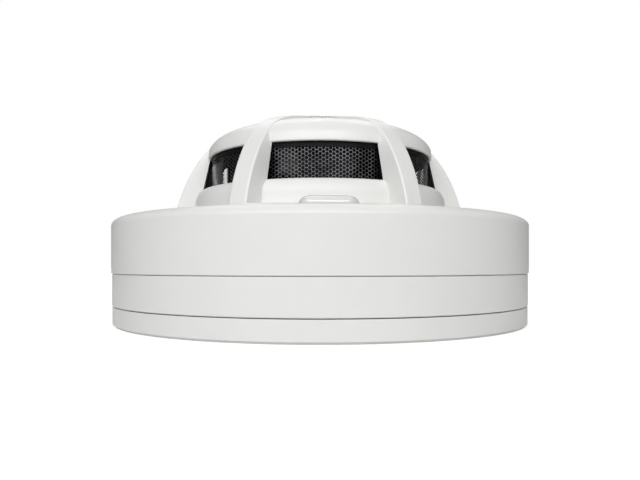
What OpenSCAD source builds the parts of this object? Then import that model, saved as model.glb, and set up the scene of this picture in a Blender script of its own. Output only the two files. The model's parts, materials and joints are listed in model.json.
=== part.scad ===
// Point-type heat detector: a twist-lock mounting base and a head with a six-windowed dome.
// Millimetres. The origin is the centre of the base's mounting face, +Z points to the dome,
// and the indicator lens faces -Y.

/* [Outline] */
// Radius of the head's outer wall
head_r = 52; // [51.5:0.25:54]
// Height of the mounting base's visible band
base_h = 4.5; // [4.2:0.1:4.8]
// Height of the seam between the rear housing and the front cover
cover_z = 12.2; // [12.2:0.1:12.6]
// Height of the shoulder above the mounting face
shoulder_z = 25.5; // [25.5:0.1:26.5]
// Moulded wall thickness
wall = 2.2; // [2:0.1:2.4]

/* [Dome] */
// Height of the dome's top above its foot on the shoulder
dome_h = 24.7; // [24:0.1:26]
// Radius of the dome at its foot
dome_r = 37.6; // [37.2:0.1:38]
// Number of ribs, and of windows, round the dome
rib_n = 6; // [4:1:8]
// Width of one rib
rib_w = 4.6; // [3.6:0.1:5.4]
// Height of the window sills above the shoulder
sill_h = 7.3; // [7:0.1:7.5]
// Height of a window opening
window_h = 8.3; // [7.5:0.1:8.6]

/* [Base] */
// Distance between the two fixing slots along X
slot_span_x = 60; // [58:1:64]
// Distance between the two fixing slots along Y
slot_span_y = 50; // [48:1:56]
// Width of a fixing slot
slot_w = 4.5; // [4:0.1:5]
// Length of a fixing slot, end to end
slot_len = 8; // [6:0.5:9]
// Radius of the cable entry
cable_r = 12; // [10:0.5:12.5]
// Angle that the head turns between its locked stop and the lift-off position
twist = 12; // [10:0.5:14]

/* [Hidden] */
$fn = 96;
eps = 0.01;

white = [0.93, 0.93, 0.92];
black = [0.06, 0.06, 0.06];
brass = [0.80, 0.66, 0.36];
steel = [0.76, 0.77, 0.78];

// Gaps: between the base and the head, and between mouldings that meet at a seam
body_gap = 0.2;
seam = 0.1;

// Mounting base
base_r = head_r - 0.3;
floor_t = 2.6;
relief = 1.0;
relief_in = cable_r + 3.5;
relief_out = head_r - 6;
relief_rib_n = 8;
relief_rib_w = 1.4;
collar_out = head_r - 2.7;
collar_in = collar_out - 1.8;
collar_top = base_h + 4.7;

// Bayonet lugs on the head, and the slots in the base's collar that they travel in
lug_n = 3;
lug_first = 30;
lug_deg = 8;
lug_in = collar_in + 0.4;
lug_z = base_h + 1.5;
lug_t = 1.8;
lug_play = 0.25;
lug_play_deg = 0.6;

// Terminals
terminal_n = 4;
terminal_first = 45;
terminal_r = 30;
tower = 11;
tower_top = 5.4;
fence_t = 1.2;
contact_t = 0.5;
contact_w = 5;
clamp = 8.2;
clamp_t = 1;
terminal_screw_r = 1.5;
terminal_head_r = 3.2;
terminal_head_t = 1.9;
contact_step = 15;
blade_z = 8.7;
blade_t = 0.6;
blade_gap = 0.15;
rivet_y = 7;
rivet_r = 0.9;

// Rear housing
housing_r = head_r - 0.2;
housing_in = head_r - wall;
housing_z = base_h + body_gap;
housing_top = cover_z - seam;
plate_t = 1.5;
plate_z = housing_top - plate_t;
spigot_r = housing_in - 0.2;
spigot_t = 1.1;
spigot_top = housing_top + 1.6;

// Screws that join the housing and the cover
joint_n = 3;
joint_first = 90;
joint_r = head_r - 6.8;
cup_r = 3.6;
cup_in = 2.9;
cup_seat = 12.5;
cup_top = 13.6;
boss_r = 3;

// Circuit board
board_z = 14;
board_t = 1.6;
board_top = board_z + board_t;
board_r = head_r - 7.5;
board_screw_n = 3;
standoff_r = 36;
standoff_first = 30;
standoff_w = 3;
joint_screw_r = 1.4;
board_screw_r = 1.1;
pilot_gap = 0.05;
hole_gap = 0.25;

// Front cover
wall_top = shoulder_z - 2.1;
shoulder_run = 4.2;
shoulder_in_z = shoulder_z + 0.9;
mouth_r = dome_r - 0.1;
shoulder_t = 2;

// Indicator lens
lens_r = 0.8 * head_r;
lens_l = 11.8;
lens_w = 5.2;
lens_h = 1.8;
stem_l = 7;
stem_w = 3;
led_r = 1.5;

// Dome cage
foot_r = dome_r - 0.3;
foot_top = shoulder_z + 1.5;
lip_r = mouth_r + 1.9;
lip_top = shoulder_in_z - shoulder_t - 0.8;
lip_t = 1.3;
lip_z = lip_top - lip_t;
sill_z = shoulder_z + sill_h;
sill_r = dome_r - 5.1;
sill_edge_r = sill_r - 2.5;
sill_in = sill_edge_r - 1.7;
cage_in = sill_r - 2.6;
lintel_z = sill_z + window_h;
lintel_r = dome_r - 8.5;
lintel_h = dome_h - sill_h - window_h - 0.5;
lintel_t = 2.1;
lintel_in = lintel_r - 0.9;
hub_r = 16;
hub_sink = 1.6;
jamb_foot_r = sill_in + 2;
notch_deg = 4;
notch_from_mid = 17;

// Inner mouldings and the screen
screen_r = sill_in - 0.3;
screen_t = 0.4;
flange_t = 1.4;
flange_z = lip_z - flange_t;
flange_r = lip_r - 0.6;
table_r = screen_r + 1.1;
table_z = sill_z - 4.6;
table_rim = 0.9;
table_t = 1.5;
screen_top = lintel_z + 0.9;
vane_n = 8;
vane_r = screen_r - 3;
vane_t = 1.3;
vane_top = lintel_z + 0.4;
vane_lid_t = 1.5;
post_n = 3;
post_r = 2;
post_ring_r = 24;
sensor_z = (sill_z + lintel_z) / 2;
bead_r = 1.1;
lead_r = 0.3;
lead_gap = 1.2;
holder_r = 3.6;

// Places n copies round Z, the first one at angle first.
module around(n, first = 0) {
    for (i = [0 : n - 1])
        rotate([0, 0, first + i * 360 / n]) children();
}

// Places n copies round Z at radius r, the first one at angle first.
module ring_of(n, r, first = 0) {
    around(n, first) translate([r, 0, 0]) children();
}

// A tube of outer radius ro and inner radius ri between two heights.
module tube(ro, ri, z0, z1) {
    rotate_extrude() translate([ri, z0]) square([ro - ri, z1 - z0]);
}

// A stretch of tube that covers the angles a0 to a1.
module arc_tube(ro, ri, z0, z1, a0, a1) {
    rotate([0, 0, a0]) rotate_extrude(angle = a1 - a0) translate([ri, z0]) square([ro - ri, z1 - z0]);
}

// A slot of width w and end-to-end length l along X.
module slot(l, w, z0, z1) {
    for (side = [-1, 1])
        translate([side * (l - w) / 2, 0, z0]) cylinder(r = w / 2, h = z1 - z0);
    translate([-(l - w) / 2, -w / 2, z0]) cube([l - w, w, z1 - z0]);
}

// Both pairs of fixing slots, or the bosses round them when they are grown.
module fixing_slots(grow, z0, z1) {
    for (side = [-1, 1]) {
        translate([side * slot_span_x / 2, 0, 0]) slot(slot_len + 2 * grow, slot_w + 2 * grow, z0, z1);
        translate([0, side * slot_span_y / 2, 0])
            rotate([0, 0, 90]) slot(slot_len + 2 * grow, slot_w + 2 * grow, z0, z1);
    }
}

// A quarter of a superellipse, from (a, z0) up to (0, z0 + b), as points every step degrees.
function super_arc(a, b, p, q, z0, from, to, step) =
    [for (t = [from : step : to]) [a * pow(cos(t), 2 / p), z0 + b * pow(sin(t), 2 / q)]];

function backwards(list) = [for (i = [len(list) - 1 : -1 : 0]) list[i]];

// A recess across the head of a screw.
module driver_slot(width, depth, z) {
    for (turn = [0, 90])
        rotate([0, 0, turn]) translate([-width / 2, -0.4, z - depth]) cube([width, 0.8, depth + eps]);
}

// A pan-head screw whose head stands on z_seat and whose shank ends at z_tip.
module pan_screw(head_r, head_t, shank_r, z_seat, z_tip) {
    up = z_seat > z_tip ? 1 : -1;
    mirror([0, 0, up > 0 ? 0 : 1]) difference() {
        rotate_extrude() polygon([[0, up * z_tip], [shank_r * 0.5, up * z_tip],
            [shank_r, up * z_tip + 0.7], [shank_r, up * z_seat], [head_r, up * z_seat],
            [head_r, up * z_seat + head_t * 0.6], [head_r * 0.75, up * z_seat + head_t],
            [0, up * z_seat + head_t]]);
        driver_slot(head_r * 1.3, head_t * 0.5, up * z_seat + head_t);
    }
}

// ---- Mounting base ----

module base_plate() {
    rotate_extrude() polygon([[cable_r, 0], [base_r - 0.5, 0], [base_r, 0.5], [base_r, base_h - 0.15],
        [base_r - 0.15, base_h], [collar_out, base_h], [collar_out, collar_top - 0.4],
        [collar_out - 0.4, collar_top], [collar_in, collar_top], [collar_in, floor_t],
        [cable_r + 1.6, floor_t], [cable_r + 1.6, floor_t + 1.4], [cable_r, floor_t + 1.4]]);
}

// Shallow pocket in the back of the plate, crossed by ribs and by the slots' bosses
module back_relief() {
    difference() {
        tube(relief_out, relief_in, -eps, relief);
        fixing_slots(2, -1, relief + 1);
        around(relief_rib_n, 180 / relief_rib_n) translate([0, -relief_rib_w / 2, -1])
            cube([base_r, relief_rib_w, relief + 2]);
    }
}

// One L-shaped bayonet slot: a level leg for the locked lug and an upright leg to lift it out
module bayonet_slot() {
    half = lug_deg / 2 + lug_play_deg;
    arc_tube(collar_out + 1, collar_in - 1, lug_z - lug_play, lug_z + lug_t + lug_play,
        -half, twist + half);
    arc_tube(collar_out + 0.8, collar_in - 0.8, lug_z + 0.3, collar_top + 1,
        twist - half, twist + half - 0.1);
}

module terminal_tower() {
    difference() {
        union() {
            translate([-tower / 2, -tower / 2, floor_t - eps])
                cube([tower, tower, tower_top - floor_t + eps]);
            // Fence between neighbouring wires
            translate([-tower / 2, -tower / 2 - fence_t, floor_t - eps])
                cube([tower, fence_t, tower_top - floor_t + 2.4]);
        }
        translate([0, 0, floor_t - 1]) cylinder(r = terminal_screw_r + pilot_gap, h = tower_top);
    }
}

module mounting_base() {
    color(white) difference() {
        union() {
            base_plate();
            ring_of(terminal_n, terminal_r, terminal_first) terminal_tower();
            fixing_slots(1.6, floor_t - eps, floor_t + 0.8);
        }
        back_relief();
        fixing_slots(0, -1, floor_t + 2);
        around(lug_n, lug_first) bayonet_slot();
    }
}

// Stamped strip: a plate on the tower, and a bowed leaf that the head's blade rides on
module contact_spring() {
    crown_y = 2 * terminal_r * sin(contact_step / 2);
    crown_z = blade_z - blade_gap;
    difference() {
        translate([contact_w / 2, 0, 0]) rotate([90, 0, -90]) linear_extrude(contact_w) polygon([
            [4.6, tower_top], [4.6, tower_top + contact_t], [-4.6, tower_top + contact_t],
            [-crown_y + 1.2, crown_z], [-crown_y - 1.2, crown_z], [-crown_y - 3, crown_z - 1.3],
            [-crown_y - 2.6, crown_z - 1.6], [-crown_y - 1, crown_z - contact_t],
            [-crown_y + 1, crown_z - contact_t], [-4.9, tower_top]]);
        translate([0, 0, tower_top - 1]) cylinder(r = terminal_screw_r + hole_gap, h = 3);
    }
}

module contact_springs() {
    color(brass) ring_of(terminal_n, terminal_r, terminal_first) contact_spring();
}

module wire_clamps() {
    z = tower_top + contact_t;
    color(steel) ring_of(terminal_n, terminal_r, terminal_first) difference() {
        translate([-clamp / 2, -clamp / 2, z]) cube([clamp, clamp - 1, clamp_t]);
        translate([0, 0, z - 1]) cylinder(r = terminal_screw_r + hole_gap, h = 4);
        // Grooves in the underside grip the wire
        for (y = [-2.8, 2.2])
            translate([-clamp, y, z - eps]) cube([2 * clamp, 0.5, 0.25]);
    }
}

module terminal_screws() {
    color(steel) ring_of(terminal_n, terminal_r, terminal_first)
        pan_screw(terminal_head_r, terminal_head_t, terminal_screw_r,
            tower_top + contact_t + clamp_t, floor_t + 0.2);
}

// ---- Head: rear housing and what it carries ----

module housing_shell() {
    rotate_extrude() polygon([[housing_in, housing_z], [housing_r - 0.15, housing_z],
        [housing_r, housing_z + 0.15], [housing_r, housing_top - 0.15], [housing_r - 0.15, housing_top],
        [spigot_r, housing_top], [spigot_r, spigot_top], [spigot_r - spigot_t, spigot_top],
        [spigot_r - spigot_t, housing_top], [0, housing_top], [0, plate_z], [housing_in, plate_z]]);
}

module rear_housing() {
    tail_slot = [contact_w + 0.4, 1];
    color(white) difference() {
        union() {
            housing_shell();
            ring_of(joint_n, joint_r, joint_first) translate([0, 0, plate_z])
                cylinder(r = cup_r, h = cup_top - plate_z);
            ring_of(board_screw_n, standoff_r, standoff_first) translate([0, 0, plate_z + eps])
                cylinder(r = standoff_w, h = board_z - plate_z - eps);
            around(lug_n, lug_first) arc_tube(housing_in + 0.5, lug_in, lug_z, lug_z + lug_t,
                -lug_deg / 2, lug_deg / 2);
        }
        ring_of(joint_n, joint_r, joint_first) {
            translate([0, 0, plate_z - 1]) cylinder(r = cup_in, h = cup_seat - plate_z + 1);
            translate([0, 0, plate_z]) cylinder(r = joint_screw_r + hole_gap, h = 6);
        }
        ring_of(board_screw_n, standoff_r, standoff_first) translate([0, 0, plate_z + 0.6])
            cylinder(r = board_screw_r + pilot_gap, h = 6);
        ring_of(terminal_n, terminal_r, terminal_first + contact_step)
            translate([-tail_slot[0] / 2, 2.2, plate_z - 1]) cube([tail_slot[0], tail_slot[1], 4]);
    }
}

// Blade that meets the base's spring, its foot under the plate and its tail up to the board
module head_contact() {
    t = blade_t;
    tail_w = 1.2;
    foot_z = plate_z - t;
    difference() {
        translate([contact_w / 2, 0, 0]) rotate([90, 0, -90]) linear_extrude(contact_w) polygon([
            [3, blade_z], [3, blade_z + t], [-1.8, blade_z + t], [-2.4, foot_z + t], [-10, foot_z + t],
            [-10, foot_z], [-3, foot_z], [-2.4, blade_z]]);
        translate([0, rivet_y, foot_z - 1]) cylinder(r = rivet_r + pilot_gap, h = 3);
    }
    translate([-tail_w / 2, 2.4, foot_z + eps]) cube([tail_w, t, board_top + 0.8 - foot_z]);
}

module head_contacts() {
    color(brass) ring_of(terminal_n, terminal_r, terminal_first + contact_step) head_contact();
}

module contact_rivets() {
    foot_z = plate_z - blade_t;
    color(steel) ring_of(terminal_n, terminal_r, terminal_first + contact_step) translate([0, rivet_y, 0])
        rotate_extrude() polygon([[0, foot_z - 0.5], [1.1, foot_z - 0.5], [1.6, foot_z],
            [rivet_r, foot_z], [rivet_r, plate_z], [0, plate_z]]);
}

module housing_screws() {
    color(steel) ring_of(joint_n, joint_r, joint_first)
        pan_screw(2.6, 1.5, joint_screw_r, cup_seat, cup_seat + 8);
}

// ---- Head: electronics ----

module circuit_board() {
    color([0.10, 0.36, 0.20]) difference() {
        translate([0, 0, board_z]) cylinder(r = board_r, h = board_t);
        ring_of(joint_n, joint_r, joint_first) translate([0, 0, board_z - 1])
            cylinder(r = cup_r + 0.3, h = 4);
        ring_of(board_screw_n, standoff_r, standoff_first) translate([0, 0, board_z - 1])
            cylinder(r = board_screw_r + hole_gap, h = 4);
        ring_of(terminal_n, terminal_r, terminal_first + contact_step)
            translate([-0.8, 2.3, board_z - 1]) cube([1.6, 0.8, 4]);
    }
}

module board_screws() {
    color(steel) ring_of(board_screw_n, standoff_r, standoff_first)
        pan_screw(2.1, 1.3, board_screw_r, board_top, plate_z + 1);
}

// A moulded package with gull-wing legs along its two long sides
module chip(l, w, h, legs) {
    pitch = 1.27;
    translate([-l / 2, -w / 2, board_top + 0.2]) cube([l, w, h]);
    for (side = [-1, 1], i = [0 : legs - 1])
        translate([(i - (legs - 1) / 2) * pitch - 0.2, side * (w / 2 + 0.45) - 0.5, board_top])
            cube([0.4, 1, 0.6]);
}

module microcontroller() {
    color(black) translate([-12, 11, 0]) chip(10.3, 7.4, 2.2, 8);
}

module comparator_ic() {
    color(black) translate([13, 9, 0]) chip(5, 3.9, 1.5, 4);
}

module filter_capacitor() {
    color([0.16, 0.18, 0.30]) translate([-15, -9, board_top]) rotate_extrude() polygon([[0, 0], [2.5, 0],
        [2.5, 0.8], [2.3, 1.1], [2.5, 1.4], [2.5, 4.4], [2.3, 4.6], [1.9, 4.6], [1.8, 4.5], [0, 4.5]]);
}

module bridge_diodes() {
    color(black) for (x = [7, 12], y = [-11, -17])
        translate([x, y, board_top]) {
            translate([-1.3, -2.1, 0]) cube([2.6, 4.2, 2]);
            translate([-0.8, -2.5, 0]) cube([1.6, 5, 0.4]);
        }
}

module surge_suppressor() {
    color(black) translate([-24, -20, board_top]) {
        translate([-3, -3.4, 0]) cube([6, 6.8, 2.3]);
        translate([-1.5, -3.9, 0]) cube([3, 7.8, 0.4]);
    }
}

module chip_resistors() {
    color([0.12, 0.12, 0.13]) for (i = [0 : 5], row = [0, 1])
        translate([-3 + i * 3, 16 + row * 4, board_top]) cube([2, 1.25, 0.55]);
}

module reference_thermistor() {
    color([0.10, 0.10, 0.12]) translate([26, 16, 0]) {
        translate([0, 0, board_top + 2.6]) sphere(r = bead_r);
        for (side = [-1, 1])
            translate([side * 0.55, 0, board_top]) cylinder(r = 0.25, h = 2.4);
    }
}

module status_led() {
    barrel = 2 * led_r;
    color([0.85, 0.20, 0.18]) translate([0, -lens_r, board_top]) rotate_extrude() polygon(concat(
        [[0, 0], [led_r + 0.4, 0], [led_r + 0.4, 0.8], [led_r, 0.8], [led_r, barrel]],
        [for (t = [15 : 15 : 90]) [led_r * cos(t), barrel + led_r * sin(t)]]));
}

// ---- Head: front cover, lens and dome ----

// Oval lens on the shoulder, with a stem that stands over the light
module led_lens() {
    seat = shoulder_lens_z() + 0.02;
    color([0.95, 0.95, 0.93, 0.9]) translate([0, -lens_r, 0]) {
        hull() {
            slot(lens_l, lens_w, seat, seat + lens_h * 0.5, $fn = 32);
            slot(lens_l - 0.7, lens_w - 0.7, seat, seat + lens_h * 0.8, $fn = 32);
            slot(lens_l - 2.4, lens_w - 2.4, seat, seat + lens_h, $fn = 32);
        }
        slot(stem_l, stem_w, board_top + 4.9, seat + eps, $fn = 32);
    }
}

// Height of the shoulder's outer face where the lens's outer edge rests on it
function shoulder_lens_z() =
    shoulder_z + (shoulder_in_z - shoulder_z) * (head_r - shoulder_run - lens_r - lens_w / 2)
        / (head_r - shoulder_run - mouth_r);

// Outer face of the cover: straight wall, rounded shoulder and a slight crown up to the mouth
function shoulder_arc(inset) = [for (t = [0 : 10 : 90])
    [head_r - shoulder_run + (shoulder_run - inset) * cos(t),
        wall_top + (shoulder_z - wall_top) * sin(t) - inset * sin(t) * 0.9]];

module cover_shell() {
    outer = shoulder_arc(0);
    inner = backwards(shoulder_arc(wall));
    rotate_extrude() polygon(concat([[housing_in, cover_z], [head_r - 0.15, cover_z],
        [head_r, cover_z + 0.15]], outer, [[mouth_r + 0.3, shoulder_in_z], [mouth_r, shoulder_in_z - 0.3],
        [mouth_r, shoulder_in_z - shoulder_t]], inner));
}

module front_cover() {
    under = shoulder_z - shoulder_t;
    color(white) difference() {
        union() {
            cover_shell();
            ring_of(joint_n, joint_r, joint_first) translate([0, 0, cup_top])
                cylinder(r = boss_r, h = under + 0.4 - cup_top);
            // Webs tie each boss to the wall
            around(joint_n, joint_first) translate([joint_r + boss_r - 0.6, -0.7, spigot_top + 0.2])
                cube([head_r - wall / 2 - joint_r - boss_r + 0.6, 1.4, under + 0.2 - spigot_top]);
        }
        ring_of(joint_n, joint_r, joint_first) translate([0, 0, cup_top - 1])
            cylinder(r = joint_screw_r + pilot_gap, h = 9);
        translate([0, -lens_r, 0]) slot(stem_l + 0.4, stem_w + 0.4, under - 2, shoulder_in_z + 2);
        // Flat seat under the lens
        translate([0, -lens_r, 0]) slot(lens_l + 0.3, lens_w + 0.3, shoulder_lens_z(), shoulder_in_z + 2);
    }
}

// Ring that stands in the cover's mouth, with the sill wall on its inner edge
module cage_foot() {
    rounding = [for (t = [0 : 18 : 90]) [sill_edge_r + (sill_r - 0.3 - sill_edge_r) * cos(t),
        sill_z - 3.7 * (1 - sin(t))]];
    rotate_extrude() polygon(concat([[cage_in, lip_z], [cage_in + 2, lip_z],
        [cage_in + 2, foot_top - 2], [foot_r - 2, foot_top - 2], [foot_r - 2, lip_z], [lip_r, lip_z],
        [lip_r, lip_top], [foot_r, lip_top], [foot_r, foot_top - 0.3], [foot_r - 0.3, foot_top],
        [sill_r, foot_top]], rounding, [[sill_in, sill_z], [sill_in, sill_z - 2],
        [cage_in, sill_z - 3.6]]));
}

// Thin cap over the windows, open underneath
module cage_cap() {
    outer = super_arc(lintel_r, lintel_h, 2.5, 2.5, lintel_z, 7.5, 85, 5);
    inner = super_arc(lintel_in, lintel_h - lintel_t, 2.5, 2.5, lintel_z, 0, 80, 10);
    rotate_extrude() polygon(concat([[lintel_r - 0.7, lintel_z], [lintel_r - 0.15, lintel_z + 0.4]],
        outer, [[0, lintel_z + lintel_h], [0, lintel_z + lintel_h - lintel_t]], backwards(inner)));
}

// The ribs' outer curve, which the hub on top shares
crest_p = 4.3;
crest_q = 1.3;
function crest(from, to) = super_arc(dome_r, dome_h, crest_p, crest_q, shoulder_z, from, to, 3.75);
function crest_z(r) = shoulder_z + dome_h * pow(1 - pow(r / dome_r, crest_p), 1 / crest_q);

// Middle of the cap's wall, where the ribs and the hub end
function cap_middle(from, to) = super_arc(lintel_r - 1, lintel_h - 1, 2.5, 2.5, lintel_z, from, to, 9);

module rib() {
    translate([0, rib_w / 2, 0]) rotate([90, 0, 0]) linear_extrude(rib_w) polygon(concat(
        [[foot_r - 0.2, foot_top - 0.5]], crest(7.5, 78.75), [[hub_r - 0.4, crest_z(hub_r - 0.4) - 0.05]],
        backwards(cap_middle(9, 54)),
        [[sill_in, lintel_z + 0.5], [jamb_foot_r, sill_z - 0.5], [jamb_foot_r, foot_top - 0.5]]));
}

module cage_hub() {
    rim = lintel_z + lintel_h - hub_sink;
    rotate_extrude() polygon(concat([[0, rim], [hub_r, rim], [hub_r, crest_z(hub_r)]],
        crest(82.5, 86.25), [[0, shoulder_z + dome_h]]));
}

// Small vents in the foot ring, two below each window
module foot_notches() {
    around(rib_n, -90) for (side = [-1, 1])
        rotate([0, 0, side * notch_from_mid])
            arc_tube(foot_r + 1, foot_r - 0.7, foot_top - 0.9, foot_top - 0.4,
                -notch_deg / 2, notch_deg / 2);
}

module dome_cage() {
    color(white) difference() {
        union() {
            cage_foot();
            cage_cap();
            cage_hub();
            around(rib_n, -90 + 180 / rib_n) rib();
        }
        foot_notches();
    }
}

// ---- Head: inside the dome ----

module dust_seal() {
    color(black) tube(foot_r - 2.5, cage_in + 2.5, flange_z + flange_t, foot_top - 2);
}

// Flange that traps the dome's lip, with a raised table for the screen and three posts on the board
module chamber_base() {
    table = [[holder_r + 0.4, flange_z], [flange_r, flange_z], [flange_r, flange_z + flange_t],
        [table_r, flange_z + flange_t], [table_r, table_z + table_rim],
        [screen_r + 0.1, table_z + table_rim], [screen_r + 0.1, table_z],
        [holder_r + 0.4, table_z], [holder_r + 0.4, table_z - table_t],
        [table_r - 1.6, table_z - table_t], [table_r - 1.6, flange_z + flange_t],
        [holder_r + 0.4, flange_z + flange_t]];
    color(black) {
        rotate_extrude() polygon(table);
        ring_of(post_n, post_ring_r, 90) translate([0, 0, board_top])
            cylinder(r = post_r, h = flange_z + 0.2 - board_top);
    }
}

// Curved vanes that slow a draught but let warm air in, hanging from a lid
module vane_cage() {
    span = 0.62 * 360 / vane_n;
    color(black) {
        translate([0, 0, vane_top]) cylinder(r = screen_r - screen_t - 0.8, h = vane_lid_t);
        around(vane_n, -90) {
            arc_tube(vane_r, vane_r - vane_t, table_z + 0.2, vane_top + 0.5, -span / 2, span / 2);
            rotate([0, 0, span / 2 - 1]) translate([vane_r - 5.5, -vane_t, table_z + 0.2])
                cube([5, vane_t, vane_top + 0.5 - table_z]);
        }
    }
}

module insect_screen() {
    color(steel) tube(screen_r, screen_r - screen_t, table_z, screen_top);
}

module thermistor_holder() {
    color(black) rotate_extrude() polygon([[0, board_top], [holder_r + 1.2, board_top],
        [holder_r + 1.2, board_top + 1.5], [holder_r, board_top + 1.5], [holder_r, table_z + 1],
        [holder_r - 1, table_z + 2], [0, table_z + 2]]);
}

module thermistor_leads() {
    color(steel) for (side = [-1, 1])
        translate([side * lead_gap / 2, 0, table_z + 2])
            cylinder(r = lead_r, h = sensor_z - bead_r - table_z - 1.6);
}

// Glass bead with a sealed foot that the two leads enter
module sensing_thermistor() {
    color([0.35, 0.20, 0.12]) difference() {
        union() {
            translate([0, 0, sensor_z]) sphere(r = bead_r);
            translate([0, 0, sensor_z - bead_r - 0.4]) cylinder(r = 0.95, h = bead_r);
        }
        for (side = [-1, 1])
            translate([side * lead_gap / 2, 0, sensor_z - bead_r - 1])
                cylinder(r = lead_r + 0.02, h = 1.42);
    }
}

mounting_base();
contact_springs();
wire_clamps();
terminal_screws();
rear_housing();
head_contacts();
contact_rivets();
housing_screws();
circuit_board();
board_screws();
microcontroller();
comparator_ic();
filter_capacitor();
bridge_diodes();
surge_suppressor();
chip_resistors();
reference_thermistor();
status_led();
led_lens();
front_cover();
dome_cage();
dust_seal();
chamber_base();
vane_cage();
insect_screen();
thermistor_holder();
thermistor_leads();
sensing_thermistor();
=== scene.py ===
"""Looks of the heat detector: the moulded dome, the perforated screen, the lens and every material."""

import json
import math

import bmesh
import bpy
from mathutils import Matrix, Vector


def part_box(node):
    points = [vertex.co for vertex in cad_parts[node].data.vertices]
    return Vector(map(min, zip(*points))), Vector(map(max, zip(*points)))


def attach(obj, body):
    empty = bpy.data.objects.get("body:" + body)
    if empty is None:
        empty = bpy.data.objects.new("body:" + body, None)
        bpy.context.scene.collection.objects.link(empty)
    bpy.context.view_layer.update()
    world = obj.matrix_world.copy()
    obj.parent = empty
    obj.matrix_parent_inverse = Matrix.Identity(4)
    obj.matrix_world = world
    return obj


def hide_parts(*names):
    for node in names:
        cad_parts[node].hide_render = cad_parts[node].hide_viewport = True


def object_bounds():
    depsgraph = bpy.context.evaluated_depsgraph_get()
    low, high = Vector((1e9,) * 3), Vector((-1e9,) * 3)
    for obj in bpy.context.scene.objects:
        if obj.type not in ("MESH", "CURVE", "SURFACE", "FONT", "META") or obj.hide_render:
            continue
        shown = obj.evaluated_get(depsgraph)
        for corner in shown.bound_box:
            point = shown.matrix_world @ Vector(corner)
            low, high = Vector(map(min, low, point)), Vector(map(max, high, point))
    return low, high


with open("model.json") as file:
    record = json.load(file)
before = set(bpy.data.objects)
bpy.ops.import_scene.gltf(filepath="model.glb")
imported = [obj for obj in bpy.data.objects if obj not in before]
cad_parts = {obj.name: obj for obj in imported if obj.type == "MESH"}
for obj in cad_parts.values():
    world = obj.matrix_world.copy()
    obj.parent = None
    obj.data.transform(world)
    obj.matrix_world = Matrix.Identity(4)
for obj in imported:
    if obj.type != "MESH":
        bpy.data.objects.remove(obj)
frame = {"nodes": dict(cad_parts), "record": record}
cad_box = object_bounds()
nodes = frame["nodes"]

MM = 0.001
UP = Vector((0, 0, 1))


def span_mm(node):
    """Lowest and highest corner of a CAD node, in millimetres."""
    low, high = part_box(node)
    return [v / MM for v in low], [v / MM for v in high]


# ---- Sizes, in millimetres and degrees, worked out from the frame ----

cover_high = span_mm("front_cover")[1]
cage_low, cage_high = span_mm("dome_cage")
screen_low, screen_high = span_mm("insect_screen")
lens_low, lens_high = span_mm("led_lens")

# Azimuth of the front, where the lens is
FRONT = -90

# Head: its shoulder rises a little towards the dome
SHOULDER_RISE = 0.9
HEAD_R = cover_high[0]
SHOULDER_Z = cover_high[2] - SHOULDER_RISE

# Dome: a lip under the shoulder, and a foot ring that stands in the shoulder's mouth
LIP_W = 1.8
LIP_T = 1.3
LIP_R = cage_high[0]
LIP_Z = cage_low[2]
DOME_R = LIP_R - LIP_W
DOME_TOP = cage_high[2]
DOME_H = DOME_TOP - SHOULDER_Z
FOOT_INSET = 0.3
FOOT_H = 1.5
FOOT_T = 2
FOOT_R = DOME_R - FOOT_INSET
FOOT_TOP = SHOULDER_Z + FOOT_H

# Screen, which runs a little past the windows at both ends
SCREEN_TAIL = 4.6
SCREEN_HEAD = 0.9
SCREEN_GAP = 0.3
SCREEN_R = screen_high[0]
SCREEN_LOW = screen_low[2]
SCREEN_TOP = screen_high[2]

# Sill wall below the windows: inner face, rounded top edge, and the foot of its outer slope
SILL_T = 1.7
SILL_FACE_H = 2
SILL_FLARE_H = 3.6
SILL_DROP = 3.7
SLOPE_INSET = 0.3
LEDGE_W = 5.1
SILL_Z = SCREEN_LOW + SCREEN_TAIL
SILL_R = DOME_R - LEDGE_W
SILL_IN = SCREEN_R + SCREEN_GAP
SILL_EDGE_R = SILL_IN + SILL_T
CAGE_IN = SILL_IN + 1.6
CAGE_OUT = SILL_IN + 3.6

# Cap over the windows, whose lower edge is the lintel
LINTEL_INSET = 8.5
LINTEL_T = 0.9
NOSE_INSET = 0.1
CAP_SINK = 0.5
CAP_T = 2.1
LINTEL_Z = SCREEN_TOP - SCREEN_HEAD
LINTEL_R = DOME_R - LINTEL_INSET
LINTEL_IN = LINTEL_R - LINTEL_T
CAP_TOP = DOME_TOP - CAP_SINK
CAP_H = CAP_TOP - LINTEL_Z

# Powers of the superellipses that the ribs and the cap follow
CREST_POWERS = (4.3, 1.3)
CAP_POWERS = (2.5, 2.5)

# Ribs: parallel-sided outside FLARE_R, flared inside it, one skin inside HUB_R
RIB_N = 6
RIB_W = 4.6
EDGE_R = 0.45
HUB_R = 13.0
FLARE_R = 25.0
JAMB_DRAFT = 0.66
JAMB_FOOT = 2
RIB_SINK = 0.6
LINTEL_LAP = 0.4
CAP_BITE = 1.0
INNER_LAG = 1.15
CREST_FLAT_R = 28
CREST_FLAT_RUN = 4

# Small vents in the foot ring, two below each window
NOTCH_DEG = 4
NOTCH_FROM_MID = 17
NOTCH_INSET = 0.7
NOTCH_DROP = 0.9
NOTCH_H = 0.5
NOTCH_DEPTH = 2

# Locating key on the sill: distances from SILL_IN, and heights above its foot
KEY_AT = FRONT - 52.6
KEY_W = 0.7
KEY_SINK = 0.4
KEY_INNER = 0.05
KEY_TIP = 0.5
KEY_HEEL = 0.9
KEY_HEEL_H = 1.0
KEY_TIP_H = 3.9
KEY_H = 4.3

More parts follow.
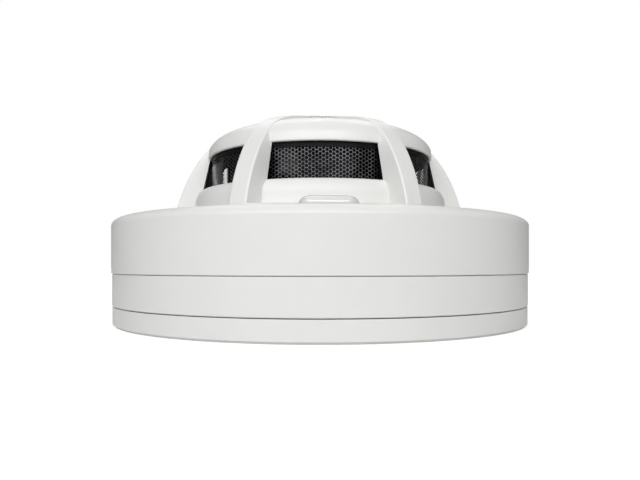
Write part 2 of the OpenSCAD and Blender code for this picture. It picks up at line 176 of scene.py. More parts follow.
# Perforated sheet, with a plain seam strip over part of it
HOLE_PITCH = 0.865
HOLE_R = 0.385
HOLE_SIDES = 12
SHEET_INSET = 0.08
SHEET_T = 0.12
SHEET_BELOW = 0.9
SHEET_LAP = 0.3
SEAM_FROM = FRONT - 84
SEAM_SWEEP = 26
SEAM_STEPS = 24
SEAM_T = 0.06
SEAM_BELOW = 0.2
SEAM_TOP = SILL_Z + 6

# Carrier: a hoop at each end of the sheet, and a post behind each rib; the top hoop's black band under the
# lintel is partly a real ring and partly painted shade of the lintel
HOOP_T = 0.35
HOOP_DROP = 0.25
# From HEM_Z up to the lintel the top hoop is black: a real ring, and painted shade of the lintel over the
# screen's top
HEM_Z = LINTEL_Z - 1.1
POST_W = 3.0
POST_INNER = 0.02
POST_FOOT = 1.95
POST_HEAD = 0.05
POST_LIFT = 0.05
POST_DROP = 0.1

# Lens: an upright edge, a domed top, and a stem over the light
LENS_H = 1.8
LENS_EDGE = 0.15
LENS_SLOPE = 0.94
LENS_SEAT_GAP = 0.02
STEM_SHARE = 0.59
STEM_W = 3

# Steps round the curves of the meshes, and the distances within which points are taken as one
LATHE_STEPS = 240
ARC_STEPS = 12
JAMB_STEPS = 24
CREST_STEPS = 40
EDGE_STEPS = 6
SNAP = 0.02
TINY = 1e-6
WELD = 1e-4
SPIDER_WELD = 2e-3

# Floor disc, just below the part, with an opening a little smaller than the head
FLOOR_GAP = 0.1
FLOOR_R = 3000
FLOOR_IN = HEAD_R - 1
FLOOR_STEPS = 120

# ---- Light and camera, in metres and watts ----

BOX_LOW, BOX_HIGH = [Vector(v) for v in cad_box]
CENTRE = (BOX_LOW + BOX_HIGH) / 2

# The floor's own glow rises over a range of distances from the part
FLOOR_GLOW = (0.55, 1.0)
FLOOR_FADE = (0.08, 0.30)
WORLD_GLOW = 0.13

# Each soft box: name, place, width and height, power
LIGHTS = [
    ("key_box", (-0.10, -0.82, 0.58), (1.5, 0.5), 11.0),
    ("top_box", (0.0, 0.1, 0.8), (0.8, 0.8), 1.2),
    ("under_box", (0.0, 0.0, -0.8), (0.8, 0.8), 6.0),
    ("back_box", (0.0, 0.70, 0.75), (0.7, 0.4), 1.8),
]

# The camera's distance and height are shares of the head's radius
CAMERA_TURN = math.radians(2.4)
CAMERA_REACH = 3.0
CAMERA_RISE = 0.2717
CAMERA_LENS = 33.24
CAMERA_SENSOR = 36
CAMERA_SHIFT = 0.0395
CAMERA_CLIP = 0.005


# ---- Mesh helpers ----

def new_object(name, bm):
    """An object made from a bmesh in millimetres."""
    mesh = bpy.data.meshes.new(name)
    bmesh.ops.scale(bm, vec=(MM, MM, MM), verts=bm.verts)
    bm.to_mesh(mesh)
    bm.free()
    obj = bpy.data.objects.new(name, mesh)
    bpy.context.scene.collection.objects.link(obj)
    for face in mesh.polygons:
        face.use_smooth = True
    return obj


def soften(obj, degrees):
    """Smooth shading, with the edges sharper than an angle kept crisp."""
    obj.data.shade_smooth()
    obj.data.set_sharp_from_angle(angle=math.radians(degrees))


def polar(radius, degrees, z):
    """A point at an angle from +X."""
    angle = math.radians(degrees)
    return Vector((radius * math.cos(angle), radius * math.sin(angle), z))


def rounded(corners, steps=5):
    """Rounds each corner (x, y, radius) of a closed outline."""
    points = []
    count = len(corners)
    for i, (x, y, radius) in enumerate(corners):
        here = Vector((x, y))
        if radius <= 0:
            points.append(here)
            continue
        to_last = Vector(corners[i - 1][:2]) - here
        to_next = Vector(corners[(i + 1) % count][:2]) - here
        turn = to_last.angle(to_next)
        # A rounding takes under half of each side beside it
        cut = min(radius / math.tan(turn / 2), 0.49 * to_last.length, 0.49 * to_next.length)
        start = here + to_last.normalized() * cut
        end = here + to_next.normalized() * cut
        for k in range(steps + 1):
            t = k / steps
            points.append((1 - t) ** 2 * start + 2 * t * (1 - t) * here + t ** 2 * end)
    return points


def lathe(bm, outline, segments):
    """Turns a closed (radius, height) outline round Z."""
    rings = []
    for k in range(segments):
        angle = 2 * math.pi * k / segments
        cos, sin = math.cos(angle), math.sin(angle)
        rings.append([bm.verts.new((r * cos, r * sin, z)) for r, z in outline])
    for a, b in zip(rings, rings[1:] + rings[:1]):
        for i in range(len(outline)):
            j = (i + 1) % len(outline)
            bm.faces.new((a[i], b[i], b[j], a[j]))
    bmesh.ops.remove_doubles(bm, verts=bm.verts, dist=WELD)
    bmesh.ops.recalc_face_normals(bm, faces=bm.faces)


def fin(bm, corners, depth_dir, depth):
    """A closed prism: an outline pushed along one direction."""
    front = [bm.verts.new(c) for c in corners]
    back = [bm.verts.new(Vector(c) + Vector(depth_dir) * depth) for c in corners]
    count = len(corners)
    bm.faces.new(front)
    bm.faces.new(reversed(back))
    for i in range(count):
        j = (i + 1) % count
        bm.faces.new((front[j], front[i], back[i], back[j]))
    bmesh.ops.recalc_face_normals(bm, faces=bm.faces)


def band(bm, outer, inner, z_low, z_high, start=0, sweep=360, segments=180):
    """A closed strip of sheet round Z."""
    full = sweep >= 360
    rings = []
    for k in range(segments if full else segments + 1):
        angle = start + sweep * k / segments
        rings.append([bm.verts.new(polar(r, angle, z)) for r, z in
                      ((inner, z_low), (outer, z_low), (outer, z_high), (inner, z_high))])
    pairs = list(zip(rings, rings[1:]))
    if full:
        pairs.append((rings[-1], rings[0]))
    for a, b in pairs:
        for i in range(4):
            j = (i + 1) % 4
            bm.faces.new((a[i], b[i], b[j], a[j]))
    if not full:
        bm.faces.new(rings[0])
        bm.faces.new(reversed(rings[-1]))


def join_solids(base, others, operation="UNION"):
    """Unites closed solids with the base, or cuts them from it, and deletes them."""
    for other in others:
        cut = base.modifiers.new("join", "BOOLEAN")
        cut.operation = operation
        cut.solver = "EXACT"
        cut.object = other
        bpy.context.view_layer.objects.active = base
        bpy.ops.object.modifier_apply(modifier=cut.name)
        bpy.data.objects.remove(other)


# ---- Curves of the dome ----

def super_point(a, b, powers, z0, angle):
    """Point of a superellipse's upper right quarter."""
    p, q = powers
    return (a * max(math.cos(angle), 0) ** (2 / p), z0 + b * max(math.sin(angle), 0) ** (2 / q))


def crest_point(angle):
    """Point of the ribs' outer curve."""
    return super_point(DOME_R, DOME_H, CREST_POWERS, SHOULDER_Z, angle)


def crest_angle(z):
    """Angle at which the ribs' outer curve reaches a height."""
    return math.asin(((z - SHOULDER_Z) / DOME_H) ** (CREST_POWERS[1] / 2))


def crest_height(radius):
    """Height of the ribs' outer curve at a radius."""
    p, q = CREST_POWERS
    share = min(max(radius / DOME_R, 0), 1)
    return SHOULDER_Z + DOME_H * (1 - share ** p) ** (1 / q)


def cap_point(angle, inset=0.0):
    """Point of the cap's outer curve, or of one that lies inside it."""
    return super_point(LINTEL_R - inset, CAP_H - inset, CAP_POWERS, LINTEL_Z, angle)


def sector_half(radius):
    """Half the width of one rib's share of the dome at a radius."""
    return radius * math.tan(math.pi / RIB_N)


# ---- Dome cage: foot, cap and the six-legged spider of ribs ----

def cage_foot():
    """Foot ring, ledge and sill wall. Each corner is (radius, height, rounding)."""
    slope_w = SILL_R - SLOPE_INSET - SILL_EDGE_R
    corners = [
        (CAGE_IN, LIP_Z, 0.15), (CAGE_OUT, LIP_Z, 0.15), (CAGE_OUT, FOOT_TOP - FOOT_T, 0.3),
        (FOOT_R - FOOT_T, FOOT_TOP - FOOT_T, 0.3), (FOOT_R - FOOT_T, LIP_Z, 0.15), (LIP_R, LIP_Z, 0.2),
        (LIP_R, LIP_Z + LIP_T, 0.2), (FOOT_R, LIP_Z + LIP_T, 0.15), (FOOT_R, FOOT_TOP, 0.45),
        (SILL_R, FOOT_TOP, 0.8),
    ]
    for k in range(ARC_STEPS + 1):
        angle = math.pi / 2 * k / ARC_STEPS
        drop = SILL_DROP * (1 - math.sin(angle))
        corners.append((SILL_EDGE_R + slope_w * math.cos(angle), SILL_Z - drop, 0))
    corners += [(SILL_IN, SILL_Z, 0.25), (SILL_IN, SILL_Z - SILL_FACE_H, 0.3),
                (CAGE_IN, SILL_Z - SILL_FLARE_H, 0.3)]
    bm = bmesh.new()
    lathe(bm, rounded(corners), LATHE_STEPS)
    return new_object("dome_foot", bm)


def cage_cap():
    """Thin cap over the windows, with a rounded nose along its lower edge."""
    # Both curves stop short of the axis and of the lintel, where the corners below take over
    outer = [cap_point(math.radians(a)) for a in range(10, 88, 3)]
    inner = [super_point(LINTEL_IN, CAP_H - CAP_T, CAP_POWERS, LINTEL_Z, math.radians(a))
             for a in range(84, 0, -6)]
    corners = [(LINTEL_IN, LINTEL_Z, 0.1), (LINTEL_R - NOSE_INSET, LINTEL_Z, 0.45)]
    corners += [(x, y, 0) for x, y in outer]
    corners += [(0.0, CAP_TOP, 0), (0.0, CAP_TOP - CAP_T, 0)]
    corners += [(x, y, 0) for x, y in inner]
    bm = bmesh.new()
    lathe(bm, rounded(corners), LATHE_STEPS)
    return new_object("dome_cap", bm)


def spider_stations():
    """Pairs of outer and inner points along one rib, from the foot to the centre of the hub."""
    jamb_r = SILL_IN + JAMB_FOOT
    lintel_z = LINTEL_Z + LINTEL_LAP
    lintel_angle = crest_angle(lintel_z)
    foot_angle = crest_angle(FOOT_TOP - RIB_SINK)
    stations = []
    for k in range(JAMB_STEPS + 1):
        outer = crest_point(foot_angle + (lintel_angle - foot_angle) * k / JAMB_STEPS)
        inner_r = jamb_r
        if outer[1] >= SILL_Z:
            inner_r += (SILL_IN - jamb_r) * ((outer[1] - SILL_Z) / (lintel_z - SILL_Z))
        stations.append((outer, (inner_r, outer[1])))
    for k in range(1, CREST_STEPS + 1):
        share = k / CREST_STEPS
        outer = crest_point(lintel_angle + (math.pi / 2 - lintel_angle) * share)
        # The inner point lags a little behind the outer one on its way up
        inner = cap_point(math.pi / 2 * share ** INNER_LAG, CAP_BITE)
        stations.append((outer, inner))
    return stations


def rib_half_width(radius):
    """Ribs are parallel-sided, and flare into the hub with a round corner between each pair."""
    if radius > FLARE_R:
        return RIB_W / 2
    flare = (FLARE_R - radius) / (FLARE_R - HUB_R)
    spread = sector_half(HUB_R) - RIB_W / 2
    # With this power the flare meets its mirror image square on, so the corner has no cusp
    power = (FLARE_R - HUB_R) / math.tan(math.pi / RIB_N) / spread
    return min(RIB_W / 2 + spread * flare ** power, sector_half(radius))


def rib_section(outer, inner):
    """Outline across a rib: crest, rounded edges, straight sides and a wider inner face."""
    half = rib_half_width(outer[0])
    inner_half = min(half + JAMB_DRAFT, sector_half(max(inner[0], 0)))
    merged = half >= sector_half(outer[0]) - TINY
    along = Vector((outer[0] - inner[0], outer[1] - inner[1]))
    depth = along.length
    # The rounded edge shrinks where the rib is thin or close to its neighbour
    edge = 0.0 if merged else min(EDGE_R, 0.45 * depth, (sector_half(outer[0]) - half) * 0.6)
    crest = [(-half + edge + (half - edge) * 2 * k / ARC_STEPS, 0.0) for k in range(ARC_STEPS + 1)]
    arc = [(half - edge + edge * math.sin(a), edge * (1 - math.cos(a)))
           for a in [math.pi / 2 * k / EDGE_STEPS for k in range(1, EDGE_STEPS + 1)]]
    # The crest is flat across outside CREST_FLAT_R, and follows the dome's curve nearer the hub
    curved = min(max((CREST_FLAT_R - outer[0]) / CREST_FLAT_RUN, 0), 1)
    points = []
    for s, down in [(-s, d) for s, d in reversed(arc)] + crest + arc:
        share = down / depth
        fall = crest_height(outer[0]) - crest_height(math.hypot(outer[0], s))
        points.append((outer[0] - along.x * share, s, outer[1] - along.y * share - curved * fall))
    points.append((inner[0], inner_half, inner[1]))
    points.append((inner[0], -inner_half, inner[1]))
    return points, merged


def cage_spider():
    """All the ribs and the hub as one closed skin."""
    bm = bmesh.new()
    stations = spider_stations()
    for n in range(RIB_N):
        angle = math.radians(FRONT + 180 / RIB_N + n * 360 / RIB_N)
        cos, sin = math.cos(angle), math.sin(angle)
        last = None
        last_merged = False
        for outer, inner in stations:
            points, merged = rib_section(outer, inner)
            ring = [bm.verts.new((r * cos - s * sin, r * sin + s * cos, z)) for r, s, z in points]
            count = len(ring)
            if last is None:
                bm.faces.new(reversed(ring))
            else:
                for i in range(count):
                    # Where neighbouring ribs have merged, the walls between them are left out
                    if i in (count - 3, count - 1) and merged and last_merged:
                        continue
                    j = (i + 1) % count
                    bm.faces.new([last[i], ring[i], ring[j], last[j]])
            last = ring
            last_merged = merged
    bmesh.ops.remove_doubles(bm, verts=bm.verts, dist=SPIDER_WELD)
    bmesh.ops.dissolve_degenerate(bm, dist=WELD, edges=bm.edges)
    bmesh.ops.recalc_face_normals(bm, faces=bm.faces)
    return new_object("dome_spider", bm)


def foot_notches():
    """Cutters for the vents in the foot ring."""
    bm = bmesh.new()
    radius = FOOT_R - NOTCH_INSET
    z = FOOT_TOP - NOTCH_DROP
    for n in range(RIB_N):
        for side in (-1, 1):
            middle = FRONT + n * 360 / RIB_N + side * NOTCH_FROM_MID
            left = polar(radius, middle - NOTCH_DEG / 2, z)
            right = polar(radius, middle + NOTCH_DEG / 2, z)
            corners = [left, right, right + UP * NOTCH_H, left + UP * NOTCH_H]
            fin(bm, corners, polar(1, middle, 0), NOTCH_DEPTH)
    return new_object("notch_cutter", bm)


def locating_key():
    """Small upright rib on the sill that the screen's seam is turned against."""
    bm = bmesh.new()
    foot = SILL_Z - KEY_SINK
    inner = polar(SILL_IN + KEY_INNER, KEY_AT, foot)
    tip = polar(SILL_IN + KEY_TIP, KEY_AT, foot)
    heel = polar(SILL_IN + KEY_HEEL, KEY_AT, foot)
    corners = [inner, heel, tip + UP * KEY_HEEL_H, tip + UP * KEY_TIP_H, inner + UP * KEY_H]
    across = polar(1, KEY_AT + 90, 0)
    fin(bm, [c - across * KEY_W / 2 for c in corners], across, KEY_W)
    return new_object("dome_key", bm)


def build_dome():
    """The whole white dome as one closed shell."""
    shell = cage_foot()
    join_solids(shell, [cage_cap(), cage_spider(), locating_key()])
    join_solids(shell, [foot_notches()], "DIFFERENCE")
    shell.name = "dome_shell"
    soften(shell, 35)
    return shell


# ---- Insect screen: a rolled perforated sheet with a seam, and the carrier that holds it ----

def perforated_sheet(bm, radius, thick, z_low, z_high):
    """Sheet with rows of round holes, nearest neighbours one above the other."""
    column_gap = HOLE_PITCH * math.sqrt(3) / 2
    columns = 2 * round(math.pi * radius / column_gap)
    arc = math.radians(360 / columns) * radius
    rows = int((z_high - z_low) / HOLE_PITCH)
    cell = HOLE_PITCH / math.sqrt(3)
    known = {}

    def vert(x, z, depth):
        """The corner of a cell, shared with the cells beside it."""
        key = (round(x / SNAP) % round(arc * columns / SNAP), round(z / SNAP), depth)
        if key not in known:
            known[key] = bm.verts.new(polar(radius - depth, math.degrees(x / radius), z))
        return known[key]

    for column in range(columns):
        x = column * arc
        lift = HOLE_PITCH / 2 if column % 2 else 0
        for row in range(rows):
            z = z_low + HOLE_PITCH / 2 + row * HOLE_PITCH + lift
            rim, edge = [], []
            for k in range(HOLE_SIDES):
                angle = math.radians(360 / HOLE_SIDES * k)
                # Each cell is a hexagon, with a corner at every other step round the hole
                reach = cell if k % 2 == 0 else cell * math.cos(math.pi / 6)
                across = reach * math.cos(angle) * arc / column_gap
                edge.append([vert(x + across, z + reach * math.sin(angle), d) for d in (0, thick)])
                rim_at = math.degrees((x + HOLE_R * math.cos(angle)) / radius)
                rim_z = z + HOLE_R * math.sin(angle)
                rim.append([bm.verts.new(polar(radius - d, rim_at, rim_z)) for d in (0, thick)])
            for k in range(HOLE_SIDES):
                j = (k + 1) % HOLE_SIDES
                bm.faces.new((edge[k][0], edge[j][0], rim[j][0], rim[k][0]))
                bm.faces.new((edge[j][1], edge[k][1], rim[k][1], rim[j][1]))
                bm.faces.new((rim[k][0], rim[j][0], rim[j][1], rim[k][1]))


def build_screen():
    """The perforated sheet and its plain seam strip."""
    bm = bmesh.new()
    perforated_sheet(bm, SCREEN_R - SHEET_INSET, SHEET_T, SILL_Z - SHEET_BELOW, HEM_Z + SHEET_LAP)
    band(bm, SCREEN_R, SCREEN_R - SEAM_T, SILL_Z - SEAM_BELOW, SEAM_TOP, SEAM_FROM, SEAM_SWEEP, SEAM_STEPS)
    bmesh.ops.recalc_face_normals(bm, faces=bm.faces)
    mesh = new_object("screen_mesh", bm)
    soften(mesh, 40)
    return mesh


def carrier_post(bm, at):
    """Upright wedge that closes the gap between the screen and a rib's slanted back."""
    across = polar(1, at + 90, 0)
    inner = SCREEN_R + POST_INNER
    foot_z = SILL_Z + POST_LIFT
    head_z = LINTEL_Z - POST_DROP
    corners = [polar(inner, at, foot_z), polar(SILL_IN + POST_FOOT, at, foot_z),
               polar(SILL_IN + POST_HEAD, at, head_z), polar(inner, at, head_z)]
    fin(bm, [c - across * POST_W / 2 for c in corners], across, POST_W)


def build_carrier():
    """Black rings and uprights that hold the sheet's plain edges; the top ring's black strip under the
    lintel is also painted shade of the lintel.
    """
    bm = bmesh.new()
    band(bm, SCREEN_R, SCREEN_R - HOOP_T, SCREEN_LOW, SILL_Z - HOOP_DROP)
    # Top hoop: black plastic ring, whose black strip under the lintel also paints the lintel's shade on the
    # screen
    band(bm, SCREEN_R, SCREEN_R - HOOP_T, HEM_Z, SCREEN_TOP)
    for n in range(RIB_N):
        carrier_post(bm, FRONT + (n + 0.5) * 360 / RIB_N)
    bmesh.ops.recalc_face_normals(bm, faces=bm.faces)
    holder = new_object("screen_carrier", bm)
    soften(holder, 40)
    return holder


# ---- Indicator lens ----

def stadium(length, width, steps=16):
    """Outline of a slot shape along X."""
    points = []
    half = (length - width) / 2
    for side in (1, -1):
        for k in range(steps + 1):
            angle = math.radians(-90 + 180 * k / steps)
            points.append((side * (half + width / 2 * math.cos(angle)), side * width / 2 * math.sin(angle)))
    return points


def pill(bm, middle, rings):
    """A closed body from stadium outlines (length, width, height) stacked upwards."""
    last = None
    for length, width, z in rings:
        ring = [bm.verts.new((middle.x + x, middle.y + y, z)) for x, y in stadium(length, width)]
        if last is None:
            bm.faces.new(reversed(ring))
        else:
            for i in range(len(ring)):
                j = (i + 1) % len(ring)
                bm.faces.new((last[i], last[j], ring[j], ring[i]))
        last = ring
    bm.faces.new(last)


def build_lens():
    """Pearly oval window with a domed top, and its stem over the light."""
    middle = Vector(((lens_low[0] + lens_high[0]) / 2, (lens_low[1] + lens_high[1]) / 2, 0))
    length = lens_high[0] - lens_low[0]
    width = lens_high[1] - lens_low[1]
    seat = lens_high[2] - LENS_H
    rings = [(length, width, seat + LENS_SEAT_GAP), (length, width, seat + LENS_EDGE * LENS_H)]
    for degrees in range(6, 90, 6):
        angle = math.radians(degrees)
        inset = LENS_SLOPE * width * (1 - math.cos(angle))
        height = LENS_H * (LENS_EDGE + (1 - LENS_EDGE) * math.sin(angle))
        rings.append((length - inset, width - inset, seat + height))
    bm = bmesh.new()
    pill(bm, middle, rings)
    stem = STEM_SHARE * length
    pill(bm, middle, [(stem, STEM_W, lens_low[2]), (stem, STEM_W, seat)])
    bmesh.ops.recalc_face_normals(bm, faces=bm.faces)
    window = new_object("indicator_lens", bm)
    soften(window, 50)
    return window


dome = build_dome()
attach(dome, "head")
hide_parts("dome_cage")

screen = build_screen()
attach(screen, "head")
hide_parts("insect_screen")

carrier = build_carrier()
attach(carrier, "head")

lens = build_lens()
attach(lens, "head")
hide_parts("led_lens")


# ---- Materials ----

# Most values of a noise pattern lie between these two
NOISE_RANGE = (0.3, 0.7)


class Finish:
    """A material with a Principled shader and short calls for its pattern nodes."""

    def __init__(self, name, colour, roughness, metallic=0.0):
        self.material = bpy.data.materials.new(name)
        self.material.use_nodes = True
        self.tree = self.material.node_tree
        self.shader = self.tree.nodes["Principled BSDF"]
        self.place = self.node("ShaderNodeTexCoord").outputs["Object"]
        self.set("Base Color", (*colour, 1))
        self.set("Roughness", roughness)
        self.set("Metallic", metallic)
        self.height = None

    def node(self, kind):
        return self.tree.nodes.new(kind)

    def link(self, output, socket):
        self.tree.links.new(output, socket)

    def set(self, socket, value):
        self.shader.inputs[socket].default_value = value

    def stretched(self, scale):
        """Object coordinates scaled along each axis, for streaks."""
        node = self.node("ShaderNodeMapping")
        node.inputs["Scale"].default_value = scale
        self.link(self.place, node.inputs["Vector"])
        return node.outputs["Vector"]

    def noise(self, size_mm, detail=3.0, place=None):
        """Cloudy noise whose blobs are about size_mm across."""
        node = self.node("ShaderNodeTexNoise")
        node.inputs["Scale"].default_value = 1 / (size_mm * MM)
        node.inputs["Detail"].default_value = detail
        self.link(place or self.place, node.inputs["Vector"])
        return node.outputs["Fac"]

    def cells(self, size_mm, feature="F1"):
        """Distances in a pattern of cells about size_mm across."""
        node = self.node("ShaderNodeTexVoronoi")
        node.feature = feature
        node.inputs["Scale"].default_value = 1 / (size_mm * MM)
        self.link(self.place, node.inputs["Vector"])
        return node.outputs["Distance"]

    def remap(self, value, low, high, to_low, to_high):
        """Moves a value from one range to another and clamps it."""
        node = self.node("ShaderNodeMapRange")
        ends = {"From Min": low, "From Max": high, "To Min": to_low, "To Max": to_high}
        for socket, number in ends.items():
            node.inputs[socket].default_value = number
        self.link(value, node.inputs["Value"])
        return node.outputs["Result"]

    def vary_colour(self, value, first, second):
        """Base colour that runs from one to the other with a pattern."""
        node = self.node("ShaderNodeMix")
        node.data_type = "RGBA"
        node.inputs["A"].default_value = (*first, 1)
        node.inputs["B"].default_value = (*second, 1)
        self.link(value, node.inputs["Factor"])
        self.link(node.outputs["Result"], self.shader.inputs["Base Color"])

    def vary_roughness(self, value, low, high):
        """Roughness that runs between two values with a pattern."""
        self.link(self.remap(value, *NOISE_RANGE, low, high), self.shader.inputs["Roughness"])

    def bump(self, value, height_mm, strength):
        """Adds relief; several calls stack."""
        node = self.node("ShaderNodeBump")
        node.inputs["Distance"].default_value = height_mm * MM
        node.inputs["Strength"].default_value = strength
        self.link(value, node.inputs["Height"])
        if self.height:
            self.link(self.height, node.inputs["Normal"])
        self.height = node.outputs["Normal"]
        self.link(self.height, self.shader.inputs["Normal"])


def white_plastic():
    """Off-white ABS: faint flow marks, spark-eroded grain and a slight unevenness of gloss."""
    finish = Finish("white_plastic", (0.74, 0.745, 0.73), 0.36)
    flow = finish.noise(18, 4, finish.stretched((1, 1, 0.45)))
    flow = finish.remap(flow, *NOISE_RANGE, 0, 1)
    finish.vary_colour(flow, (0.745, 0.752, 0.735), (0.722, 0.728, 0.706))
    finish.vary_roughness(finish.noise(5, 5), 0.31, 0.44)
    finish.bump(finish.noise(9, 2), 0.05, 0.06)
    finish.bump(finish.noise(0.35, 2), 0.01, 0.16)
    return finish.material


def black_plastic():
    """Glossy black styrene with fine grain and dull patches."""
    finish = Finish("black_plastic", (0.005, 0.005, 0.006), 0.30)
    finish.set("Specular IOR Level", 0.12)
    finish.vary_colour(finish.noise(6), (0.004, 0.004, 0.005), (0.008, 0.008, 0.009))
    finish.vary_roughness(finish.noise(3, 4), 0.30, 0.50)
    finish.bump(finish.noise(0.3), 0.008, 0.2)
    return finish.material


def black_foam():
    """Open-cell foam ring."""
    finish = Finish("black_foam", (0.02, 0.02, 0.022), 0.95)
    pores = finish.cells(0.55)
    finish.vary_colour(pores, (0.012, 0.012, 0.013), (0.045, 0.045, 0.048))
    finish.bump(pores, 0.25, 0.7)
    return finish.material


def brass():
    """Rolled spring brass with brush lines and a little tarnish."""
    finish = Finish("brass", (0.74, 0.55, 0.26), 0.3, 1.0)
    lines = finish.noise(0.8, 4, finish.stretched((1, 8, 8)))
    finish.vary_colour(finish.noise(4, 5), (0.78, 0.60, 0.30), (0.55, 0.37, 0.16))
    finish.vary_roughness(lines, 0.22, 0.42)
    finish.bump(lines, 0.006, 0.3)
    return finish.material


def zinc_steel():
    """Bright zinc plating with a faint blue spangle."""
    finish = Finish("zinc_steel", (0.62, 0.64, 0.67), 0.34, 1.0)
    spangle = finish.cells(1.1)
    finish.vary_colour(spangle, (0.56, 0.59, 0.64), (0.72, 0.73, 0.74))
    finish.vary_roughness(finish.noise(0.9, 4), 0.24, 0.46)
    finish.bump(finish.noise(0.4), 0.006, 0.25)
    return finish.material


def screen_metal():
    """Etched stainless sheet, satin with slight stains."""
    finish = Finish("screen_metal", (0.20, 0.20, 0.21), 0.32, 1.0)
    finish.vary_colour(finish.noise(3, 4), (0.15, 0.15, 0.16), (0.25, 0.25, 0.26))
    finish.vary_roughness(finish.noise(1.5, 4), 0.22, 0.40)
    finish.bump(finish.noise(0.25), 0.006, 0.25)
    return finish.material


def board():
    """Green solder mask over copper tracks."""
    finish = Finish("board", (0.02, 0.14, 0.06), 0.32)
    tracks = finish.remap(finish.cells(3.2, "DISTANCE_TO_EDGE"), 0.02, 0.07, 1, 0)
    finish.vary_colour(tracks, (0.014, 0.11, 0.045), (0.05, 0.26, 0.10))
    finish.vary_roughness(finish.noise(2), 0.26, 0.42)
    finish.bump(tracks, 0.03, 0.5)
    return finish.material


def chip_black():
    """Moulded epoxy packages."""
    finish = Finish("chip_black", (0.02, 0.02, 0.021), 0.6)
    finish.vary_colour(finish.noise(0.5), (0.016, 0.016, 0.017), (0.032, 0.032, 0.033))
    finish.vary_roughness(finish.noise(1), 0.52, 0.72)
    finish.bump(finish.noise(0.12), 0.01, 0.4)
    return finish.material


def capacitor_can():
    """Shrink sleeve over an aluminium can."""
    finish = Finish("capacitor_can", (0.02, 0.03, 0.09), 0.22)
    finish.vary_colour(finish.noise(1.5), (0.016, 0.024, 0.075), (0.03, 0.04, 0.12))
    finish.vary_roughness(finish.noise(0.8), 0.16, 0.32)
    finish.bump(finish.noise(1.2), 0.02, 0.2)
    return finish.material


def clear_pearl():
    """Milky polycarbonate light guide."""
    finish = Finish("lens", (0.70, 0.70, 0.69), 0.12)
    finish.set("IOR", 1.58)
    finish.set("Subsurface Weight", 0.25)
    finish.set("Subsurface Radius", (0.9, 0.9, 0.85))
    finish.set("Subsurface Scale", 0.001)
    finish.set("Coat Weight", 0.6)
    finish.set("Coat Roughness", 0.05)
    finish.vary_colour(finish.noise(4), (0.72, 0.72, 0.71), (0.62, 0.63, 0.62))
    finish.vary_roughness(finish.noise(2), 0.08, 0.2)
    finish.bump(finish.noise(2.5), 0.02, 0.12)
    return finish.material


def led_red():
    """Tinted epoxy of the light."""
    finish = Finish("led_red", (0.55, 0.02, 0.015), 0.1)
    finish.set("Coat Weight", 0.5)
    finish.vary_colour(finish.noise(1), (0.60, 0.025, 0.018), (0.42, 0.012, 0.01))
    finish.vary_roughness(finish.noise(0.8), 0.06, 0.18)
    finish.bump(finish.noise(0.6), 0.006, 0.1)
    return finish.material


def bead():
    """Glass-coated thermistor bead."""
    finish = Finish("bead", (0.10, 0.045, 0.02), 0.14)
    finish.set("Coat Weight", 0.7)
    finish.vary_colour(finish.noise(0.6), (0.12, 0.05, 0.022), (0.05, 0.022, 0.012))
    finish.vary_roughness(finish.noise(0.5), 0.08, 0.26)
    finish.bump(finish.noise(0.4), 0.01, 0.15)
    return finish.material


finishes = {
    "white_plastic": white_plastic(),
    "black_plastic": black_plastic(),
    "black_foam": black_foam(),
    "brass": brass(),
    "zinc_steel": zinc_steel(),
    "screen_metal": screen_metal(),
    "board": board(),
    "chip_black": chip_black(),
    "capacitor_can": capacitor_can(),
    "lens": clear_pearl(),
    "led_red": led_red(),
    "bead": bead(),
}
slots = {part["node"]: part["material_slot"] for part in frame["record"]["subparts"]}
for name, obj in nodes.items():
    obj.data.materials.clear()
    obj.data.materials.append(finishes[slots[name]])
dome.data.materials.append(finishes["white_plastic"])
screen.data.materials.append(finishes["screen_metal"])
# Black plastic on the carrier: its top hoop is also painted shade of the lintel on the screen
carrier.data.materials.append(finishes["black_plastic"])
lens.data.materials.append(finishes["lens"])


# ---- Floor, lights, camera and backdrop ----

def floor_material():
    """White paper whose glow only the camera sees, so that it throws no extra light on the part."""
    finish = Finish("floor_paper", (0.70, 0.70, 0.70), 0.9)
    finish.vary_colour(finish.noise(40), (0.71, 0.71, 0.71), (0.69, 0.69, 0.69))
    finish.set("Emission Color", (1, 1, 1, 1))
    length = finish.node("ShaderNodeVectorMath")
    length.operation = "LENGTH"
    finish.link(finish.place, length.inputs[0])
    direct = finish.node("ShaderNodeMath")
    direct.operation = "MULTIPLY"
    finish.link(finish.remap(length.outputs["Value"], *FLOOR_FADE, *FLOOR_GLOW), direct.inputs[0])
    seen = finish.node("ShaderNodeLightPath")
    finish.link(seen.outputs["Is Camera Ray"], direct.inputs[1])
    finish.link(direct.outputs["Value"], finish.shader.inputs["Emission Strength"])
    # Clear from below, so that the mounting face can be seen
    clear = finish.node("ShaderNodeBsdfTransparent")
    facing = finish.node("ShaderNodeNewGeometry")
    side = finish.node("ShaderNodeMixShader")
    finish.link(facing.outputs["Backfacing"], side.inputs["Fac"])
    finish.link(finish.shader.outputs["BSDF"], side.inputs[1])
    finish.link(clear.outputs["BSDF"], side.inputs[2])
    finish.link(side.outputs["Shader"], finish.tree.nodes["Material Output"].inputs["Surface"])
    return finish.material


def build_floor():
    """Wide disc, open under the part so that light from below reaches the mounting face."""
    bm = bmesh.new()
    z = BOX_LOW.z / MM - FLOOR_GAP
    inner, outer = [[bm.verts.new(polar(r, 360 * k / FLOOR_STEPS, z)) for k in range(FLOOR_STEPS)]
                    for r in (FLOOR_IN, FLOOR_R)]
    for k in range(FLOOR_STEPS):
        j = (k + 1) % FLOOR_STEPS
        bm.faces.new((inner[k], outer[k], outer[j], inner[j]))
    obj = new_object("floor", bm)
    obj.data.materials.append(floor_material())
    return obj


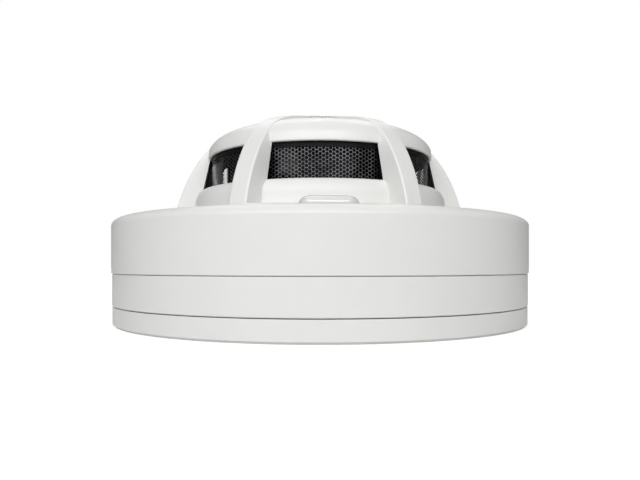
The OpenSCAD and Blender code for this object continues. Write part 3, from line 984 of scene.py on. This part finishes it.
def soft_light(name, place, size, watts):
    """A rectangular soft box aimed at the part."""
    data = bpy.data.lights.new(name, "AREA")
    data.shape = "RECTANGLE"
    data.size, data.size_y = size
    data.energy = watts
    light = bpy.data.objects.new(name, data)
    bpy.context.scene.collection.objects.link(light)
    light.location = place
    light.rotation_euler = (CENTRE - Vector(place)).to_track_quat("-Z", "Y").to_euler()


def build_camera():
    """Level camera just left of the front, with a shift that lowers the part in the picture."""
    data = bpy.data.cameras.new("camera")
    data.lens = CAMERA_LENS
    data.sensor_width = CAMERA_SENSOR
    data.shift_y = CAMERA_SHIFT
    data.clip_start = CAMERA_CLIP
    camera = bpy.data.objects.new("camera", data)
    bpy.context.scene.collection.objects.link(camera)
    distance = CAMERA_REACH * HEAD_R * MM
    height = BOX_LOW.z + CAMERA_RISE * HEAD_R * MM
    camera.location = (-distance * math.sin(CAMERA_TURN), -distance * math.cos(CAMERA_TURN), height)
    camera.rotation_euler = (math.pi / 2, 0, -CAMERA_TURN)
    bpy.context.scene.camera = camera


def build_world():
    """Weak even light on the part, and plain white for the camera to see behind it."""
    world = bpy.data.worlds.new("studio")
    world.use_nodes = True
    tree = world.node_tree
    glow = tree.nodes["Background"]
    glow.inputs["Color"].default_value = (1, 1, 1, 1)
    glow.inputs["Strength"].default_value = WORLD_GLOW
    backdrop = tree.nodes.new("ShaderNodeBackground")
    backdrop.inputs["Color"].default_value = (1, 1, 1, 1)
    seen = tree.nodes.new("ShaderNodeLightPath")
    choose = tree.nodes.new("ShaderNodeMixShader")
    tree.links.new(seen.outputs["Is Camera Ray"], choose.inputs["Fac"])
    tree.links.new(glow.outputs["Background"], choose.inputs[1])
    tree.links.new(backdrop.outputs["Background"], choose.inputs[2])
    tree.links.new(choose.outputs["Shader"], tree.nodes["World Output"].inputs["Surface"])
    bpy.context.scene.world = world


build_floor()
for name, place, size, watts in LIGHTS:
    soft_light(name, place, size, watts)
build_camera()
build_world()
bpy.context.scene.view_settings.view_transform = "Standard"
